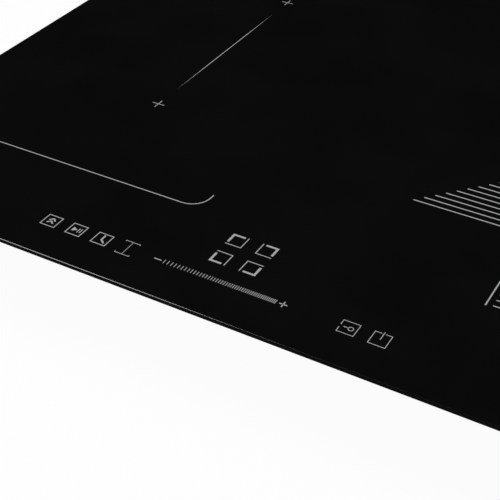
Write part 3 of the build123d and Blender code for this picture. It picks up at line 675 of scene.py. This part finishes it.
zinc = spangled_zinc("galvanised_sheet", 0.56, 0.6, 4)
dress(zinc, "base_tray", "rim_frame", *four("clamp_hook"))
bright_zinc = finish(
    "plated_screw",
    ((0.48, 0.48, 0.47), (0.58, 0.58, 0.56)),
    patch=1.5,
    roughness=(0.25, 0.4),
    metal=1,
    grain=0.02,
)
dress(bright_zinc, "case_screws", "clamp_screws")
aluminium = finish(
    "mill_aluminium",
    (grey(0.72), grey(0.8)),
    patch=12,
    roughness=(0.28, 0.42),
    metal=1,
    grain=0.01,
    grain_size=0.3,
)
dress(aluminium, *both_sides("coil_plate", "heat_sink"))
turned_brass = finish(
    "turned_brass", ((0.68, 0.5, 0.22), (0.78, 0.6, 0.3)), patch=2, roughness=(0.2, 0.35), metal=1
)
dress(turned_brass, *four("clamp_bush"))

# %% [markdown]
# ## Foam, rubber and plastics
# The foam seal, the rubber grommet and the moulded parts are dark or pale and dull. What
# tells them apart is grain: foam is full of fine cells, rubber is smooth with a soft
# gloss, and glass-filled nylon has a faint sparkle of fibres.

# %% Foam and rubber
foam = finish(
    "seal_foam",
    (grey(0.018), grey(0.035)),
    patch=1.2,
    roughness=(0.85, 0.95),
    grain=0.15,
    grain_size=0.6,
    gloss=0.2,
)
dress(foam, "rim_seal")
silicone = finish(
    "silicone_bead",
    (grey(0.03), grey(0.045)),
    patch=6,
    roughness=(0.45, 0.6),
    grain=0.05,
    grain_size=2,
)
dress(silicone, "glass_bond")
white_rubber = finish(
    "white_rubber", ((0.7, 0.69, 0.65), (0.78, 0.77, 0.73)), patch=5, roughness=(0.6, 0.75)
)
dress(white_rubber, "touch_pads", *four("zone_sensor"))
soft_rubber = finish(
    "grommet_rubber",
    (grey(0.015), grey(0.025)),
    patch=4,
    roughness=(0.55, 0.7),
    grain=0.02,
    grain_size=0.8,
)
dress(soft_rubber, "cable_grommet")

# %% Moulded plastics
black_nylon = finish(
    "black_nylon",
    (grey(0.022), grey(0.04)),
    patch=1.0,
    roughness=(0.42, 0.58),
    grain=0.03,
    grain_size=0.5,
    gloss=0.4,
)
dress(black_nylon, "terminal_box", "terminal_cover", "control_tray")
dress(black_nylon, *both_sides("fan_housing", "fan_rotor"), *four("coil_carrier"))
natural_nylon = finish(
    "natural_nylon", ((0.78, 0.76, 0.7), (0.86, 0.84, 0.79)), patch=8, roughness=(0.4, 0.55)
)
dress(natural_nylon, "support_pillars", "board_supports")
white_nylon = finish(
    "white_nylon",
    ((0.74, 0.74, 0.71), (0.82, 0.82, 0.79)),
    patch=8,
    roughness=(0.35, 0.5),
    grain=0.02,
)
dress(white_nylon, "terminal_block")
light_guide = finish(
    "milky_light_guide", ((0.66, 0.67, 0.66), (0.74, 0.75, 0.74)), patch=5, roughness=(0.2, 0.3)
)
dress(light_guide, "zone_displays", "slider_light_bar")

# %% [markdown]
# ## Coils and electronics
# Inside lie the coils of fine enamelled wire, dark ferrite bars, pale mica, green boards
# and their parts. They show when the hob is taken apart. The winding's strands run round
# the coil, so its finish has fine rings: a wave texture in rings around each coil's axis.

# %% Litz wire wound in rings
def litz(row, side):
    x, y = coil_middle(row, side)
    material = finish(
        f"litz_{row}_{side}",
        ((0.5, 0.2, 0.09), (0.72, 0.36, 0.18)),
        patch=3,
        roughness=(0.3, 0.45),
        metal=0.85,
    )
    nodes, links = material.node_tree.nodes, material.node_tree.links
    place = nodes.new("ShaderNodeTexCoord")
    centre = nodes.new("ShaderNodeMapping")
    centre.inputs["Location"].default_value = (-x * MM, -y * MM, 0)
    rings = nodes.new("ShaderNodeTexWave")
    rings.wave_type = "RINGS"
    rings.rings_direction = "Z"
    rings.inputs["Scale"].default_value = 90
    rings.inputs["Distortion"].default_value = 0.4
    links.new(place.outputs["Object"], centre.inputs["Vector"])
    links.new(centre.outputs["Vector"], rings.inputs["Vector"])
    bump = nodes.new("ShaderNodeBump")
    bump.inputs["Distance"].default_value = 0.25 * MM
    links.new(rings.outputs["Fac"], bump.inputs["Height"])
    links.new(bump.outputs["Normal"], nodes["Principled BSDF"].inputs["Normal"])
    return material


for row in rows:
    for side in sides:
        dress(litz(row, side), f"coil_winding_{row}_{side}")

# %% Ferrite, mica, boards and their parts
ferrite = finish(
    "pressed_ferrite", (grey(0.05), grey(0.085)), patch=1.5, roughness=(0.55, 0.7), grain=0.05
)
dress(ferrite, *four("ferrite_bars"))
mica = finish(
    "pressed_mica",
    ((0.5, 0.42, 0.3), (0.66, 0.58, 0.44)),
    patch=7,
    roughness=(0.35, 0.6),
    grain=0.05,
    grain_size=3,
)
dress(mica, *both_sides("mica_sheet"))
green_board = finish(
    "green_board", ((0.03, 0.15, 0.06), (0.05, 0.22, 0.1)), patch=3, roughness=(0.3, 0.45)
)
dress(green_board, "control_board", "filter_board", *both_sides("power_board"))
moulded_epoxy = finish(
    "moulded_epoxy", (grey(0.015), grey(0.028)), patch=1, roughness=(0.5, 0.65), grain=0.02
)
dress(moulded_epoxy, *both_sides("power_switches"))
capacitor_case = finish(
    "capacitor_case", ((0.3, 0.31, 0.33), (0.37, 0.38, 0.4)), patch=9, roughness=(0.3, 0.4)
)
dress(capacitor_case, "filter_parts", *both_sides("power_capacitors"))
print("solids still undressed:", sorted(set(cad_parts) - dressed))

# %% [markdown]
# ## The floor
# The hob stands on a plain pale floor. Straight to the camera the floor gives off its own
# white, and a share of its real shading is left in, so the hob keeps its shadow. Metal and
# glass see the same floor. From below it is clear, so that the hob's underside can be seen.

# %% A pale floor that keeps the shadow
floor_half = 12.0
floor_height = -0.0005
own_white = 0.94


def white_floor():
    material = bpy.data.materials.new("pale_floor")
    material.use_nodes = True
    nodes, links = material.node_tree.nodes, material.node_tree.links
    shader = nodes["Principled BSDF"]
    shader.inputs["Base Color"].default_value = (0.85, 0.85, 0.85, 1)
    shader.inputs["Roughness"].default_value = 0.9
    glow = nodes.new("ShaderNodeEmission")
    rays = nodes.new("ShaderNodeLightPath")
    seen = nodes.new("ShaderNodeMath")
    seen.operation = "MAXIMUM"
    links.new(rays.outputs["Is Camera Ray"], seen.inputs[0])
    links.new(rays.outputs["Is Glossy Ray"], seen.inputs[1])
    share = nodes.new("ShaderNodeMath")
    share.operation = "MULTIPLY"
    share.inputs[1].default_value = own_white
    links.new(seen.outputs[0], share.inputs[0])
    mix = nodes.new("ShaderNodeMixShader")
    links.new(share.outputs[0], mix.inputs["Fac"])
    links.new(shader.outputs[0], mix.inputs[1])
    links.new(glow.outputs[0], mix.inputs[2])
    below = nodes.new("ShaderNodeNewGeometry")
    clear = nodes.new("ShaderNodeBsdfTransparent")
    one_sided = nodes.new("ShaderNodeMixShader")
    links.new(below.outputs["Backfacing"], one_sided.inputs["Fac"])
    links.new(mix.outputs[0], one_sided.inputs[1])
    links.new(clear.outputs[0], one_sided.inputs[2])
    links.new(one_sided.outputs[0], nodes["Material Output"].inputs["Surface"])
    return material


floor_corners = [
    (x * floor_half, y * floor_half, floor_height) for x, y in ((-1, -1), (1, -1), (1, 1), (-1, 1))
]
floor_mesh = bpy.data.meshes.new("floor")
floor_mesh.from_pydata(floor_corners, [], [(0, 1, 2, 3)])
floor_mesh.materials.append(white_floor())
floor = bpy.data.objects.new("floor", floor_mesh)
bpy.context.scene.collection.objects.link(floor)

# %% [markdown]
# ## The room
# Black glass shows best in a room that is white all round but dark overhead, so that the
# glass stays black and the metal stays bright. The world does the same: white to the
# camera, an even soft light on everything, and for reflections a white band at the
# horizon that fades to dark above.

# %% A white room with a dark ceiling
world = bpy.data.worlds.new("room")
bpy.context.scene.world = world
world.use_nodes = True
room, wires = world.node_tree.nodes, world.node_tree.links
rays = room.new("ShaderNodeLightPath")
way = room.new("ShaderNodeTexCoord")
split = room.new("ShaderNodeSeparateXYZ")
wires.new(way.outputs["Generated"], split.inputs[0])
band = room.new("ShaderNodeMapRange")
band.interpolation_type = "SMOOTHERSTEP"
band.inputs["From Min"].default_value = -0.05
band.inputs["From Max"].default_value = 0.15
band.inputs["To Min"].default_value = 1.0
band.inputs["To Max"].default_value = 0.003
wires.new(split.outputs["Z"], band.inputs["Value"])
soft = room["Background"]
soft.inputs["Color"].default_value = (1, 1, 1, 1)
soft.inputs["Strength"].default_value = 0.45
mirror = room.new("ShaderNodeBackground")
mirror.inputs["Color"].default_value = (1, 1, 1, 1)
wires.new(band.outputs["Result"], mirror.inputs["Strength"])
white = room.new("ShaderNodeBackground")
white.inputs["Color"].default_value = (1, 1, 1, 1)
white.inputs["Strength"].default_value = 1.0
mirror_mix = room.new("ShaderNodeMixShader")
wires.new(rays.outputs["Is Glossy Ray"], mirror_mix.inputs["Fac"])
wires.new(soft.outputs[0], mirror_mix.inputs[1])
wires.new(mirror.outputs[0], mirror_mix.inputs[2])
through = room.new("ShaderNodeMath")
through.operation = "MAXIMUM"
wires.new(rays.outputs["Is Camera Ray"], through.inputs[0])
wires.new(rays.outputs["Is Transmission Ray"], through.inputs[1])
camera_mix = room.new("ShaderNodeMixShader")
wires.new(through.outputs[0], camera_mix.inputs["Fac"])
wires.new(mirror_mix.outputs[0], camera_mix.inputs[1])
wires.new(white.outputs[0], camera_mix.inputs[2])
wires.new(camera_mix.outputs[0], room["World Output"].inputs["Surface"])

# %% [markdown]
# ## The lamps
# One softbox low in front, to the left, draws the bright line along the glass's satin
# arris. Another high up fills from above and behind, outside what the glass mirrors.

# %% Softboxes
def softbox(name, stand, aim, width, height, power):
    lamp = bpy.data.lights.new(name, "AREA")
    lamp.shape = "RECTANGLE"
    lamp.size, lamp.size_y = width, height
    lamp.energy = power
    box = bpy.data.objects.new(name, lamp)
    bpy.context.scene.collection.objects.link(box)
    box.location = stand
    box.rotation_euler = (Vector(aim) - Vector(stand)).to_track_quat("-Z", "Y").to_euler()
    print(name, "power per area:", round(power / (width * height), 1), "W/m2")


softbox(
    "front_left_softbox",
    stand=(-1.36, -1.24, 1.0),
    aim=(-0.12, -0.22, 0.05),
    width=1.2,
    height=0.9,
    power=13,
)
softbox(
    "high_softbox", stand=(0.1, 0.35, 2.6), aim=(0, 0, 0.03), width=1.4, height=1.4, power=24
)

# %% The look
bpy.context.scene.view_settings.view_transform = "Standard"
